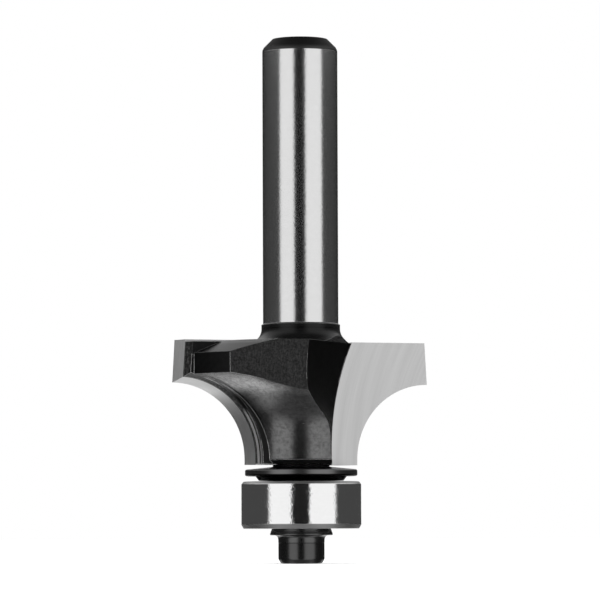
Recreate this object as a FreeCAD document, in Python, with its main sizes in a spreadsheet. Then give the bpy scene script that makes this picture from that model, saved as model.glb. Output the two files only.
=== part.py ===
"""Rounding-over router bit: an 8 mm shank, two brazed carbide tips and a guide ball bearing at the nose.

The bit stands on the flat end of its retaining screw, shank up. The axis is Z, and z = 0 is that end.
Each wing has its own directions: u runs outward along the tip, v is square to the tip's face and points
the way the bit turns, which is clockwise from above. All lengths are in millimetres, angles in degrees.
"""

import FreeCAD, Part
import math
import os

import Sketcher

Vector = FreeCAD.Vector

SIZES = {
    # Shank and neck
    "shank_diameter": 8.0,
    "shank_grip_length": 30.32,
    "shank_end_diameter": 5.86,
    "shank_corner_radius": 0.8,
    "neck_step": 0.17,
    "neck_height": 0.44,
    "neck_taper_height": 0.1,
    "neck_fillet_radius": 1.45,
    # Cutting profile: the tip's arc starts flush with the bearing, so the cutting radius is their sum
    "profile_radius": 8.0,
    "tip_lead": 0.62,
    "tip_overhang": 0.08,
    "tip_margin_height": 4.46,
    "tip_margin_taper": 3.3,
    "tip_thickness": 1.9,
    "tip_relief_angle": 16.0,
    "braze_thickness": 0.12,
    "wing_angle": 20.0,
    "wing_count": 2,
    # Steel behind the tips
    "land_thickness": 1.1,
    "land_relief_angle": 20.0,
    "land_top_step": 0.25,
    "body_top_step": 0.12,
    "rim_clearance": 1.0,
    "cove_clearance": 0.87,
    "waist_clearance": 0.75,
    "bevel_drop": 1.33,
    "bevel_run": 3.25,
    "waist_chamfer_run": 0.35,
    "waist_chamfer_height": 0.42,
    "heel_distance": 8.9,
    "heel_lag_angle": 85.0,
    # Chip gullets
    "gullet_core_radius": 3.46,
    "gullet_arc_radius": 28.0,
    "gullet_arc_start": 1.26,
    "gullet_side_step": 0.1,
    "gullet_angle_low": 110.0,
    "gullet_angle_high": 127.0,
    "gullet_twist_height": 4.86,
    "gullet_twist_span": 1.6,
    "gullet_lean_height": 7.26,
    "gullet_lean_angle": 5.0,
    "gullet_lean_span": 5.0,
    # Arbor
    "arbor_diameter": 4.76,
    "arbor_chamfer": 0.2,
    "arbor_end_gap": 0.2,
    "shoulder_diameter": 6.0,
    "shoulder_height": 0.25,
    "tapped_hole_end_gap": 0.7,
    "drill_point_angle": 118.0,
    # Guide bearing
    "bearing_outer_diameter": 12.7,
    "bearing_width": 4.978,
    "bearing_bore_clearance": 0.01,
    "bearing_chamfer": 0.3,
    "inner_ring_chamfer": 0.15,
    "inner_ring_wall": 1.16,
    "outer_ring_wall": 1.2,
    "ball_diameter": 2.381,
    "ball_count": 7,
    "race_clearance": 0.02,
    "race_groove_margin": 0.06,
    "shield_seat_step": 0.35,
    "shield_seat_depth": 0.65,
    "shield_thickness": 0.2,
    "shield_gap": 0.13,
    "cage_width": 0.85,
    "cage_thickness": 0.2,
    "cage_pocket_clearance": 0.06,
    # Dust washer
    "washer_diameter": 11.9,
    "washer_contact_diameter": 6.3,
    "washer_contact_height": 0.1,
    "washer_boss_diameter": 8.96,
    "washer_boss_height": 0.47,
    "washer_boss_flare": 0.37,
    "washer_rim_height": 0.7,
    "washer_rim_rounding": 0.1,
    "washer_cone_height": 0.3,
    "washer_bore_clearance": 0.05,
    # Clamp collar and retaining screw
    "collar_flange_diameter": 6.76,
    "collar_top_diameter": 6.24,
    "collar_flange_height": 0.7,
    "collar_fillet_radius": 0.4,
    "collar_neck_diameter": 4.92,
    "collar_neck_height": 0.4,
    "collar_bore_clearance": 0.1,
    "screw_head_diameter": 4.9,
    "screw_head_height": 2.2,
    "screw_chamfer_run": 0.25,
    "screw_chamfer_height": 0.4,
    "screw_thread_diameter": 3.0,
    "screw_thread_clearance": 0.02,
    "screw_thread_length": 8.6,
    "screw_point_chamfer": 0.4,
    "hex_key_size": 2.38,
    "hex_socket_depth": 1.3,
}


def size(name):
    """Return the expression that reads one named size from the sheet."""
    return f"sizes.{name}"


# Radii of the turned parts, as expressions
SHANK_R = f"{size('shank_diameter')} / 2"
NECK_R = f"({SHANK_R} + {size('neck_step')})"
ARBOR_R = f"{size('arbor_diameter')} / 2"
SHOULDER_R = f"{size('shoulder_diameter')} / 2"
BORE_R = f"({ARBOR_R} + {size('bearing_bore_clearance')})"
BEARING_R = f"{size('bearing_outer_diameter')} / 2"
CUTTING_R = f"({BEARING_R} + {size('profile_radius')})"
RIM_R = f"({CUTTING_R} - {size('rim_clearance')})"
WAIST_R = f"({BEARING_R} - {size('waist_clearance')})"
COVE_R = f"({size('profile_radius')} + {size('cove_clearance')})"
THREAD_R = f"{size('screw_thread_diameter')} / 2"
PITCH_R = f"(({BORE_R} + {BEARING_R}) / 2)"
BALL_R = f"{size('ball_diameter')} / 2"
GROOVE_R = f"({BALL_R} + {size('race_groove_margin')})"
INNER_SHOULDER_R = f"({BORE_R} + {size('inner_ring_wall')})"
OUTER_SHOULDER_R = f"({BEARING_R} - {size('outer_ring_wall')})"
SHIELD_SEAT_R = f"({OUTER_SHOULDER_R} + {size('shield_seat_step')})"

# Heights up the stack, as expressions: screw head, collar, bearing, washer, shoulder, body, shank
Z_COLLAR = size("screw_head_height")
Z_FLANGE = f"({Z_COLLAR} + {size('collar_neck_height')} + {size('collar_fillet_radius')})"
Z_BEARING = f"({Z_FLANGE} + {size('collar_flange_height')})"
Z_WASHER = f"({Z_BEARING} + {size('bearing_width')})"
Z_BOSS = f"({Z_WASHER} + {size('washer_contact_height')})"
Z_RIM_LOW = f"({Z_BOSS} + {size('washer_boss_height')})"
Z_RIM_HIGH = f"({Z_RIM_LOW} + {size('washer_rim_height')})"
Z_SHOULDER = f"({Z_RIM_HIGH} + {size('washer_cone_height')})"
Z_BODY = f"({Z_SHOULDER} + {size('shoulder_height')})"
Z_TIP = f"({Z_BODY} - {size('tip_overhang')})"
Z_ARC = f"({Z_TIP} + {size('tip_lead')})"
Z_MARGIN = f"({Z_ARC} + {size('profile_radius')})"
Z_TIP_TOP = f"({Z_MARGIN} + {size('tip_margin_height')})"
Z_TOP = f"({Z_TIP_TOP} - {size('body_top_step')})"
Z_BEARING_MIDDLE = f"({Z_BEARING} + {size('bearing_width')} / 2)"
Z_ARBOR_END = f"({Z_BEARING} + {size('arbor_end_gap')})"
Z_SCREW_TIP = f"({Z_COLLAR} + {size('screw_thread_length')})"

ARC_LEFT = 1
ARC_RIGHT = -1
GULLET_LEVELS = 10


def make_sheet(doc):
    """Write the driving sizes into a spreadsheet, one named row each."""
    sheet = doc.addObject("Spreadsheet::Sheet", "sizes")
    for row, (name, value) in enumerate(SIZES.items(), start=1):
        sheet.set(f"A{row}", name)
        sheet.set(f"B{row}", str(value))
        sheet.setAlias(f"B{row}", name)
    doc.recompute()
    return sheet


def origin_feature(body, role):
    """Return the body's own origin plane or axis with this role."""
    return next(item for item in body.Origin.OriginFeatures if item.Role == role)


def new_body(doc, label):
    """Start one piece of the bit."""
    body = doc.addObject("PartDesign::Body", label)
    body.Label = label
    return body


def bind(item, path, expression):
    """Tie one property of an object to an expression."""
    item.setExpression(path, expression)


def arc_between(start, end, radius, side):
    """Return the circle arc from start to end whose centre lies to the left or right of the travel."""
    chord = end - start
    half = chord.Length / 2
    rise = math.sqrt(max(radius * radius - half * half, 0.0))
    across = Vector(-chord.y, chord.x, 0).normalize()
    centre = (start + end) * 0.5 + across * (rise * side)
    circle = Part.Circle(centre, Vector(0, 0, 1), radius)
    first, last = (start, end) if side == ARC_LEFT else (end, start)
    from_angle = math.atan2(first.y - centre.y, first.x - centre.x)
    to_angle = math.atan2(last.y - centre.y, last.x - centre.x)
    return Part.ArcOfCircle(circle, from_angle, to_angle)


def draw(sketch, corners):
    """Draw a closed outline whose corners and arcs are all tied to expressions.

    A corner is (across, up), or (across, up, radius, side) where the edge that leaves it is an arc.
    """
    places = []
    for corner in corners:
        across = float(sketch.evalExpression(corner[0]))
        up = float(sketch.evalExpression(corner[1]))
        places.append(Vector(across, up, 0))
    starts = []
    ends = []
    for index, corner in enumerate(corners):
        here = places[index]
        there = places[(index + 1) % len(places)]
        if len(corner) == 2:
            sketch.addGeometry(Part.LineSegment(here, there), False)
            starts.append((index, 1))
            ends.append((index, 2))
            continue
        radius, side = corner[2:]
        arc = arc_between(here, there, float(sketch.evalExpression(radius)), side)
        sketch.addGeometry(arc, False)
        starts.append((index, 1 if side == ARC_LEFT else 2))
        ends.append((index, 2 if side == ARC_LEFT else 1))
    for index, corner in enumerate(corners):
        edge, point = starts[index]
        sketch.addConstraint(Sketcher.Constraint("Coincident", *ends[index - 1], edge, point))
        place = places[index]
        across = sketch.addConstraint(Sketcher.Constraint("DistanceX", -1, 1, edge, point, place.x))
        bind(sketch, f"Constraints[{across}]", corner[0])
        up = sketch.addConstraint(Sketcher.Constraint("DistanceY", -1, 1, edge, point, place.y))
        bind(sketch, f"Constraints[{up}]", corner[1])
        if len(corner) > 2:
            value = float(sketch.evalExpression(corner[2]))
            radius = sketch.addConstraint(Sketcher.Constraint("Radius", edge, value))
            bind(sketch, f"Constraints[{radius}]", corner[2])


def new_sketch(body, name, plane):
    """Start a sketch on one of the body's own origin planes."""
    sketch = body.newObject("Sketcher::SketchObject", name)
    sketch.AttachmentSupport = [(origin_feature(body, plane), "")]
    sketch.MapMode = "FlatFace"
    return sketch


def turned(body, name, corners):
    """Revolve an outline of (radius, height) corners about the bit's axis."""
    sketch = new_sketch(body, name + "_outline", "XZ_Plane")
    draw(sketch, corners)
    revolution = body.newObject("PartDesign::Revolution", name)
    revolution.Profile = sketch
    revolution.ReferenceAxis = (sketch, ["V_Axis"])
    revolution.Angle = 360.0
    return revolution


def upright_sketch(body, name, angle, behind):
    """Start a sketch in the plane of a tip: across is u, up is z, and it lies this far behind the face."""
    sketch = new_sketch(body, name, "XZ_Plane")
    sketch.AttachmentOffset = FreeCAD.Placement(Vector(), FreeCAD.Rotation(Vector(0, 1, 0), 1))
    bind(sketch, ".AttachmentOffset.Rotation.Angle", angle)
    bind(sketch, ".AttachmentOffset.Base.x", f"-({behind}) * sin({angle})")
    bind(sketch, ".AttachmentOffset.Base.z", f"-({behind}) * cos({angle})")
    return sketch


def level_sketch(body, name, angle, height):
    """Start a level sketch at a height: across is u, and up is against the way the bit turns."""
    sketch = new_sketch(body, name, "XY_Plane")
    sketch.AttachmentOffset = FreeCAD.Placement(Vector(), FreeCAD.Rotation(Vector(0, 0, 1), 1))
    bind(sketch, ".AttachmentOffset.Rotation.Angle", angle)
    bind(sketch, ".AttachmentOffset.Base.z", height)
    return sketch


def loft(body, kind, name, sketches):
    """Join the first sketch to the others, adding or removing the solid between them."""
    item = body.newObject(f"PartDesign::{kind}Loft", name)
    item.Profile = sketches[0]
    item.Sections = sketches[1:]
    return item


def around_axis(body, name, features, count):
    """Repeat features evenly about the bit's axis."""
    pattern = body.newObject("PartDesign::PolarPattern", name)
    pattern.Originals = features
    pattern.Axis = (origin_feature(body, "Z_Axis"), [""])
    pattern.Angle = 360.0
    bind(pattern, "Occurrences", count)
    body.Tip = pattern
    return pattern


def gullet_depth(height):
    """Return how far the gullet's arc has moved outward at a height above the start of the arc."""
    reach = size("gullet_arc_radius")
    return f"({reach} - sqrt({reach}^2 - ({height})^2))"


Z_GULLET_ARC = f"({Z_ARC} + {size('gullet_arc_start')})"
TIP_ANGLE = size("wing_angle")


def tip_outline(inset, top, bottom):
    """Return the tip's outline in (u, z), moved inward by an inset along the cutting edge.

    It runs down the gullet side, out along the bottom, up the arc and the tapered margin, and back.
    """
    taper = f"{size('tip_margin_height')} * tan({size('tip_margin_taper')})"
    arc_radius = f"({size('profile_radius')} + {inset})"
    margin_u = f"({CUTTING_R} - {inset})"
    corner_z = f"({Z_ARC} + sqrt({arc_radius}^2 - ({inset})^2))"
    inner_top = f"({size('gullet_core_radius')} + {gullet_depth(f'{top} - {Z_GULLET_ARC}')})"
    return [
        (inner_top, top, size("gullet_arc_radius"), ARC_LEFT),
        (size("gullet_core_radius"), Z_GULLET_ARC),
        (size("gullet_core_radius"), bottom),
        (f"{CUTTING_R} - {arc_radius}", bottom),
        (f"{CUTTING_R} - {arc_radius}", Z_ARC, arc_radius, ARC_RIGHT),
        (margin_u, corner_z),
        (f"{margin_u} - {taper}", top),
    ]


TIP_INSET = f"({size('tip_thickness')} * tan({size('tip_relief_angle')}))"
TIP_SEAT = f"({size('tip_thickness')} + {size('braze_thickness')})"
SEAT_INSET = f"({TIP_SEAT} * tan({size('tip_relief_angle')}))"
LAND_BACK = f"({TIP_SEAT} + {size('land_thickness')})"
LAND_INSET = f"({SEAT_INSET} + {size('land_thickness')} * tan({size('land_relief_angle')}))"
Z_LAND_TOP = f"({Z_TIP_TOP} - {size('land_top_step')})"


def wedge(body, name, angle, front, back):
    """Loft a piece of the wing between two upright outlines, each (distance behind the face, outline)."""
    sketches = []
    for end, (behind, corners) in (("front", front), ("back", back)):
        sketch = upright_sketch(body, f"{name}_{end}", angle, behind)
        draw(sketch, corners)
        sketches.append(sketch)
    return loft(body, "Additive", name, sketches)


def make_tip(doc, number, angle):
    """Carbide tip: a plate with a ground face, and relief behind its whole cutting edge."""
    body = new_body(doc, f"carbide_tip_{number}")
    front = ("0", tip_outline("0", Z_TIP_TOP, Z_TIP))
    back = (size("tip_thickness"), tip_outline(TIP_INSET, Z_TIP_TOP, Z_TIP))
    wedge(body, f"tip_{number}_plate", angle, front, back)
    return body


def make_braze(doc, number, angle):
    """Braze seam: the thin layer of filler that holds the tip to its seat."""
    body = new_body(doc, f"braze_seam_{number}")
    front = (size("tip_thickness"), tip_outline(TIP_INSET, Z_LAND_TOP, Z_BODY))
    back = (TIP_SEAT, tip_outline(SEAT_INSET, Z_LAND_TOP, Z_BODY))
    wedge(body, f"seam_{number}_layer", angle, front, back)
    return body


def body_outline():
    """Return the outline of the turned steel: tapped arbor, waist, cove, rim, bevel, neck and shank."""
    hole_r = f"({THREAD_R} + {size('screw_thread_clearance')})"
    hole_top = f"({Z_SCREW_TIP} + {size('tapped_hole_end_gap')})"
    cone = f"{hole_r} / tan({size('drill_point_angle')} / 2)"
    cove_centre = f"({WAIST_R} + {COVE_R})"
    rim_low = f"{Z_ARC} + sqrt({COVE_R}^2 - ({cove_centre} - {RIM_R})^2)"
    neck_low = f"({Z_TOP} + {size('neck_fillet_radius')})"
    neck_high = f"({neck_low} + {size('neck_height')})"
    grip_low = f"({neck_high} + {size('neck_taper_height')})"
    grip_top = f"({grip_low} + {size('shank_grip_length')})"
    corner = size("shank_corner_radius")
    corner_r = f"({SHANK_R} - {corner} * (1 - cos(45)))"
    bevel_height = f"({corner_r} - {size('shank_end_diameter')} / 2)"
    return [
        ("0", f"{hole_top} + {cone}"),
        (hole_r, hole_top),
        (hole_r, Z_ARBOR_END),
        (f"{ARBOR_R} - {size('arbor_chamfer')}", Z_ARBOR_END),
        (ARBOR_R, f"{Z_ARBOR_END} + {size('arbor_chamfer')}"),
        (ARBOR_R, Z_SHOULDER),
        (SHOULDER_R, Z_SHOULDER),
        (SHOULDER_R, Z_BODY),
        (f"{WAIST_R} - {size('waist_chamfer_run')}", Z_BODY),
        (WAIST_R, f"{Z_BODY} + {size('waist_chamfer_height')}"),
        (WAIST_R, Z_ARC, COVE_R, ARC_RIGHT),
        (RIM_R, rim_low),
        (RIM_R, f"{Z_TOP} - {size('bevel_drop')}"),
        (f"{RIM_R} - {size('bevel_run')}", Z_TOP),
        (f"{NECK_R} + {size('neck_fillet_radius')}", Z_TOP, size("neck_fillet_radius"), ARC_RIGHT),
        (NECK_R, neck_low),
        (NECK_R, neck_high),
        (SHANK_R, grip_low),
        (SHANK_R, f"{grip_top} - {bevel_height} - {corner} * sin(45)", corner, ARC_LEFT),
        (corner_r, f"{grip_top} - {bevel_height}"),
        (f"{size('shank_end_diameter')} / 2", grip_top),
        ("0", grip_top),
    ]


def cut_gullet(body):
    """Cut one chip gullet, through level sections from below the body to above it.

    The floor line leans out along an arc beside the tip. The wall swings from its low angle to its high
    angle in one smooth twist, and leans on a little above it.
    """
    above = f"({Z_TOP} + {size('body_top_step')} + {size('neck_fillet_radius')})"
    below = f"({Z_BODY} - {size('shoulder_height')} - {size('tip_lead')})"
    middle_angle = f"({size('gullet_angle_high')} + {size('gullet_angle_low')}) / 2"
    half_swing = f"({size('gullet_angle_high')} - {size('gullet_angle_low')}) / 2"
    reach = f"(2 * {CUTTING_R})"
    sketches = []
    for level in range(GULLET_LEVELS):
        height = f"({below} + ({above} - {below}) * {level} / {GULLET_LEVELS - 1})"
        twist = f"({height} - {Z_ARC} - {size('gullet_twist_height')}) / {size('gullet_twist_span')}"
        leant = f"max({height} - {Z_ARC} - {size('gullet_lean_height')}; 0) / {size('gullet_lean_span')}"
        lean = f"{size('gullet_lean_angle')} * {leant}"
        wall = f"({middle_angle} + {half_swing} * tanh({twist}) + {lean})"
        rise = f"max({height} - {Z_GULLET_ARC}; 0)"
        floor = f"({size('gullet_core_radius')} - {size('gullet_side_step')} + {gullet_depth(rise)})"
        sketch = level_sketch(body, f"gullet_level_{level + 1}", TIP_ANGLE, height)
        draw(sketch, [
            (floor, "0"),
            (f"{floor} + {reach} * cos({wall})", f"-{reach} * sin({wall})"),
            (reach, f"-{reach}"),
            (reach, "0"),
        ])
        sketches.append(sketch)
    return loft(body, "Subtractive", "chip_gullet", sketches)


def cut_seat(body):
    """Cut the pocket that the tip is brazed into, open at the rim, the top and the bottom."""
    sketch = upright_sketch(body, "tip_seat_outline", TIP_ANGLE, "0")
    above = f"({Z_TOP} + {size('neck_fillet_radius')})"
    inner_top = f"({size('gullet_core_radius')} + {gullet_depth(f'{above} - {Z_GULLET_ARC}')})"
    below = f"({Z_BODY} - {size('tip_lead')})"
    draw(sketch, [
        (inner_top, above, size("gullet_arc_radius"), ARC_LEFT),
        (size("gullet_core_radius"), Z_GULLET_ARC),
        (size("gullet_core_radius"), below),
        (f"2 * {CUTTING_R}", below),
        (f"2 * {CUTTING_R}", above),
    ])
    seat = body.newObject("PartDesign::Pocket", "tip_seat")
    seat.Profile = sketch
    bind(seat, "Length", TIP_SEAT)
    return seat


def cut_heel(body):
    """Mill the flat that clears the trailing part of the wing."""
    angle = f"{TIP_ANGLE} + {size('heel_lag_angle')}"
    sketch = level_sketch(body, "heel_flat_outline", angle, f"{Z_TOP} + {size('neck_fillet_radius')}")
    far = f"2 * {CUTTING_R}"
    draw(sketch, [
        (size("heel_distance"), f"-{far}"),
        (far, f"-{far}"),
        (far, far),
        (size("heel_distance"), far),
    ])
    heel = body.newObject("PartDesign::Pocket", "heel_flat")
    heel.Profile = sketch
    bind(heel, "Length", f"{Z_TOP} - {Z_BODY} + 2 * {size('neck_fillet_radius')}")
    return heel


def make_cutter_body(doc):
    """Cutter body: shank, winged head and arbor, turned and milled from one bar of steel."""
    body = new_body(doc, "cutter_body")
    turned(body, "turned_blank", body_outline())
    front = (TIP_SEAT, tip_outline(SEAT_INSET, Z_LAND_TOP, Z_BODY))
    back = (LAND_BACK, tip_outline(LAND_INSET, Z_LAND_TOP, Z_BODY))
    features = [
        wedge(body, "tip_backing", TIP_ANGLE, front, back),
        cut_gullet(body),
        cut_seat(body),
        cut_heel(body),
    ]
    around_axis(body, "wings", features, size("wing_count"))
    return body


def make_washer(doc):
    """Dust washer: a thin coned flange that covers the bearing and spreads the shoulder's load."""
    body = new_body(doc, "dust_washer")
    bore_r = f"{ARBOR_R} + {size('washer_bore_clearance')}"
    rim_r = f"({size('washer_diameter')} / 2)"
    boss_r = f"({size('washer_boss_diameter')} / 2)"
    rounding = size("washer_rim_rounding")
    turned(body, "washer_turned", [
        (bore_r, Z_WASHER),
        (f"{size('washer_contact_diameter')} / 2", Z_WASHER),
        (f"{size('washer_contact_diameter')} / 2", Z_BOSS),
        (boss_r, Z_BOSS),
        (f"{boss_r} + {size('washer_boss_flare')}", Z_RIM_LOW),
        (f"{rim_r} - {rounding}", Z_RIM_LOW, rounding, ARC_LEFT),
        (rim_r, f"{Z_RIM_LOW} + {rounding}"),
        (rim_r, f"{Z_RIM_HIGH} - {rounding}", rounding, ARC_LEFT),
        (f"{rim_r} - {rounding}", Z_RIM_HIGH),
        (SHOULDER_R, Z_SHOULDER),
        (bore_r, Z_SHOULDER),
    ])
    return body


def race(shoulder_r, groove_centre, side):
    """Return the lower and upper corner of a race groove; the arc leaves whichever comes first."""
    half = f"sqrt({GROOVE_R}^2 - ({groove_centre} - {shoulder_r})^2)"
    low = (shoulder_r, f"{Z_BEARING_MIDDLE} - {half}")
    high = (shoulder_r, f"{Z_BEARING_MIDDLE} + {half}")
    first, last = (low, high) if side == "inner" else (high, low)
    return [first + (GROOVE_R, ARC_RIGHT), last]


def make_inner_ring(doc):
    """Inner ring: clamped on the arbor between the washer and the collar."""
    body = new_body(doc, "bearing_inner_ring")
    groove_centre = f"({PITCH_R} - {BALL_R} - {size('race_clearance')} + {GROOVE_R})"
    chamfer = size("inner_ring_chamfer")
    turned(body, "inner_ring_turned", [
        (BORE_R, f"{Z_BEARING} + {chamfer}"),
        (f"{BORE_R} + {chamfer}", Z_BEARING),
        (INNER_SHOULDER_R, Z_BEARING),
        *race(INNER_SHOULDER_R, groove_centre, "inner"),
        (INNER_SHOULDER_R, Z_WASHER),
        (f"{BORE_R} + {chamfer}", Z_WASHER),
        (BORE_R, f"{Z_WASHER} - {chamfer}"),
    ])
    return body


def make_outer_ring(doc):
    """Outer ring: it rolls along the work, and its rim sets the depth of cut."""
    body = new_body(doc, "bearing_outer_ring")
    groove_centre = f"({PITCH_R} + {BALL_R} + {size('race_clearance')} - {GROOVE_R})"
    seat_low = f"{Z_BEARING} + {size('shield_seat_depth')}"
    seat_high = f"{Z_WASHER} - {size('shield_seat_depth')}"
    chamfer = size("bearing_chamfer")
    turned(body, "outer_ring_turned", [
        (SHIELD_SEAT_R, Z_BEARING),
        (f"{BEARING_R} - {chamfer}", Z_BEARING, chamfer, ARC_LEFT),
        (BEARING_R, f"{Z_BEARING} + {chamfer}"),
        (BEARING_R, f"{Z_WASHER} - {chamfer}", chamfer, ARC_LEFT),
        (f"{BEARING_R} - {chamfer}", Z_WASHER),
        (SHIELD_SEAT_R, Z_WASHER),
        (SHIELD_SEAT_R, seat_high),
        (OUTER_SHOULDER_R, seat_high),
        *race(OUTER_SHOULDER_R, groove_centre, "outer"),
        (OUTER_SHOULDER_R, seat_low),
        (SHIELD_SEAT_R, seat_low),
    ])
    return body


def make_shield(doc, label, low):
    """Shield: a thin pressed ring held in the outer ring, just clear of the inner ring."""
    body = new_body(doc, label)
    inner_r = f"{INNER_SHOULDER_R} + {size('shield_gap')}"
    high = f"{low} + {size('shield_thickness')}"
    turned(body, f"{label}_turned", [
        (inner_r, low),
        (SHIELD_SEAT_R, low),
        (SHIELD_SEAT_R, high),
        (inner_r, high),
    ])
    return body


def make_ball(doc, number):
    """Ball: one of the ring of balls between the races."""
    ball = doc.addObject("Part::Sphere", f"bearing_ball_{number}")
    ball.Label = f"bearing_ball_{number}"
    turn = f"360 * {number - 1} / {size('ball_count')}"
    bind(ball, "Radius", BALL_R)
    bind(ball, ".Placement.Base.x", f"{PITCH_R} * cos({turn})")
    bind(ball, ".Placement.Base.y", f"{PITCH_R} * sin({turn})")
    bind(ball, ".Placement.Base.z", Z_BEARING_MIDDLE)
    return ball


def make_cage_half(doc, label, upward):
    """Half of the pressed ribbon cage: a flat ring that arches over each ball."""
    body = new_body(doc, label)
    inner_r = f"({PITCH_R} - {size('cage_width')} / 2)"
    outer_r = f"({PITCH_R} + {size('cage_width')} / 2)"
    way = "1" if upward else "-1"
    pocket_r = f"({BALL_R} + {size('cage_pocket_clearance')})"
    arch_r = f"({pocket_r} + {size('cage_thickness')})"
    face = f"{Z_BEARING_MIDDLE} + {way} * {size('cage_thickness')}"
    turned(body, f"{label}_ribbon", [
        (inner_r, Z_BEARING_MIDDLE),
        (outer_r, Z_BEARING_MIDDLE),
        (outer_r, face),
        (inner_r, face),
    ])
    side = ARC_LEFT if upward else ARC_RIGHT
    arch_outline = new_sketch(body, f"{label}_arch_outline", "YZ_Plane")
    bind(arch_outline, ".AttachmentOffset.Base.z", inner_r)
    crown = f"{Z_BEARING_MIDDLE} + {way} * {arch_r}"
    draw(arch_outline, [
        (arch_r, Z_BEARING_MIDDLE, arch_r, side),
        ("0", crown, arch_r, side),
        (f"-{arch_r}", Z_BEARING_MIDDLE),
    ])
    arch = body.newObject("PartDesign::Pad", f"{label}_arch")
    arch.Profile = arch_outline
    bind(arch, "Length", size("cage_width"))
    pocket_outline = new_sketch(body, f"{label}_pocket_outline", "YZ_Plane")
    bind(pocket_outline, ".AttachmentOffset.Base.z", f"{PITCH_R} + {arch_r}")
    inside = f"{Z_BEARING_MIDDLE} + {way} * {pocket_r}"
    draw(pocket_outline, [
        (pocket_r, Z_BEARING_MIDDLE, pocket_r, side),
        ("0", inside, pocket_r, side),
        (f"-{pocket_r}", Z_BEARING_MIDDLE),
    ])
    pocket = body.newObject("PartDesign::Pocket", f"{label}_pocket")
    pocket.Profile = pocket_outline
    bind(pocket, "Length", f"2 * {arch_r}")
    around_axis(body, f"{label}_pockets", [arch, pocket], size("ball_count"))
    return body


def make_collar(doc):
    """Clamp collar: its flange holds the inner ring up against the washer."""
    body = new_body(doc, "clamp_collar")
    bore_r = f"{THREAD_R} + {size('collar_bore_clearance')}"
    neck_r = f"({size('collar_neck_diameter')} / 2)"
    fillet = size("collar_fillet_radius")
    turned(body, "collar_turned", [
        (bore_r, Z_COLLAR),
        (neck_r, Z_COLLAR),
        (neck_r, f"{Z_FLANGE} - {fillet}", fillet, ARC_RIGHT),
        (f"{neck_r} + {fillet}", Z_FLANGE),
        (f"{size('collar_flange_diameter')} / 2", Z_FLANGE),
        (f"{size('collar_top_diameter')} / 2", Z_BEARING),
        (bore_r, Z_BEARING),
    ])
    return body


def make_screw(doc):
    """Retaining screw: a socket screw up the middle of the arbor, whose head is the end of the bit."""
    body = new_body(doc, "retaining_screw")
    head_r = f"({size('screw_head_diameter')} / 2)"
    point = size("screw_point_chamfer")
    turned(body, "screw_turned", [
        ("0", "0"),
        (f"{head_r} - {size('screw_chamfer_run')}", "0"),
        (head_r, size("screw_chamfer_height")),
        (head_r, Z_COLLAR),
        (THREAD_R, Z_COLLAR),
        (THREAD_R, f"{Z_SCREW_TIP} - {point}"),
        (f"{THREAD_R} - {point}", Z_SCREW_TIP),
        ("0", Z_SCREW_TIP),
    ])
    socket_outline = new_sketch(body, "hex_socket_outline", "XY_Plane")
    corner_r = f"{size('hex_key_size')} / 2 / cos(30)"
    draw(socket_outline, [(f"{corner_r} * cos({turn})", f"{corner_r} * sin({turn})")
                          for turn in range(0, 360, 60)])
    socket = body.newObject("PartDesign::Pocket", "hex_socket")
    socket.Profile = socket_outline
    socket.Reversed = True
    bind(socket, "Length", size("hex_socket_depth"))
    return body


def build(doc):
    """Make every piece of the bit and return them in order up the stack."""
    sheet = make_sheet(doc)
    parts = [make_cutter_body(doc)]
    for number in range(1, int(sheet.wing_count) + 1):
        angle = f"{TIP_ANGLE} + {number - 1} * 360 / {size('wing_count')}"
        parts.append(make_tip(doc, number, angle))
        parts.append(make_braze(doc, number, angle))
    parts.append(make_washer(doc))
    parts.append(make_inner_ring(doc))
    parts.append(make_outer_ring(doc))
    for number in range(1, int(sheet.ball_count) + 1):
        parts.append(make_ball(doc, number))
    parts.append(make_cage_half(doc, "bearing_cage_upper", True))
    parts.append(make_cage_half(doc, "bearing_cage_lower", False))
    seat = size("shield_seat_depth")
    shield = size("shield_thickness")
    parts.append(make_shield(doc, "bearing_shield_upper", f"{Z_WASHER} - {seat}"))
    parts.append(make_shield(doc, "bearing_shield_lower", f"{Z_BEARING} + {seat} - {shield}"))
    parts.append(make_collar(doc))
    parts.append(make_screw(doc))
    doc.recompute()
    return parts


def check(doc, parts):
    """Stop if any feature failed or any piece is empty or not a sound solid."""
    for item in doc.Objects:
        if "Invalid" in item.State or "Error" in item.State:
            raise RuntimeError(f"{item.Name} failed: {item.State} {item.getStatusString()}")
    for part in parts:
        if part.Shape.isNull() or not part.Shape.isValid():
            raise RuntimeError(f"{part.Label} has no sound shape")


def export(parts):
    """Write each piece to its own file and report its volume."""
    os.makedirs("parts", exist_ok=True)
    for part in parts:
        part.Shape.exportStep(f"parts/{part.Label}.step")
        print(f"{part.Label}: {len(part.Shape.Solids)} solid, {part.Shape.Volume:.3f} mm3")


document = FreeCAD.newDocument("router_bit")
pieces = build(document)
check(document, pieces)
export(pieces)
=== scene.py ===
"""Looks of a rounding-over router bit with a guide bearing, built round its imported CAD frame.

The bit stands on the flat end of its screw, shank up, its axis on Z. Sizes in the classes are in
millimetres and degrees, and become metres where a mesh or a node takes them. Wings point along polar
angles 20 and 200 degrees, and the bit turns clockwise seen from above.
"""

import logging
import math
from dataclasses import dataclass
from enum import Enum

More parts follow.
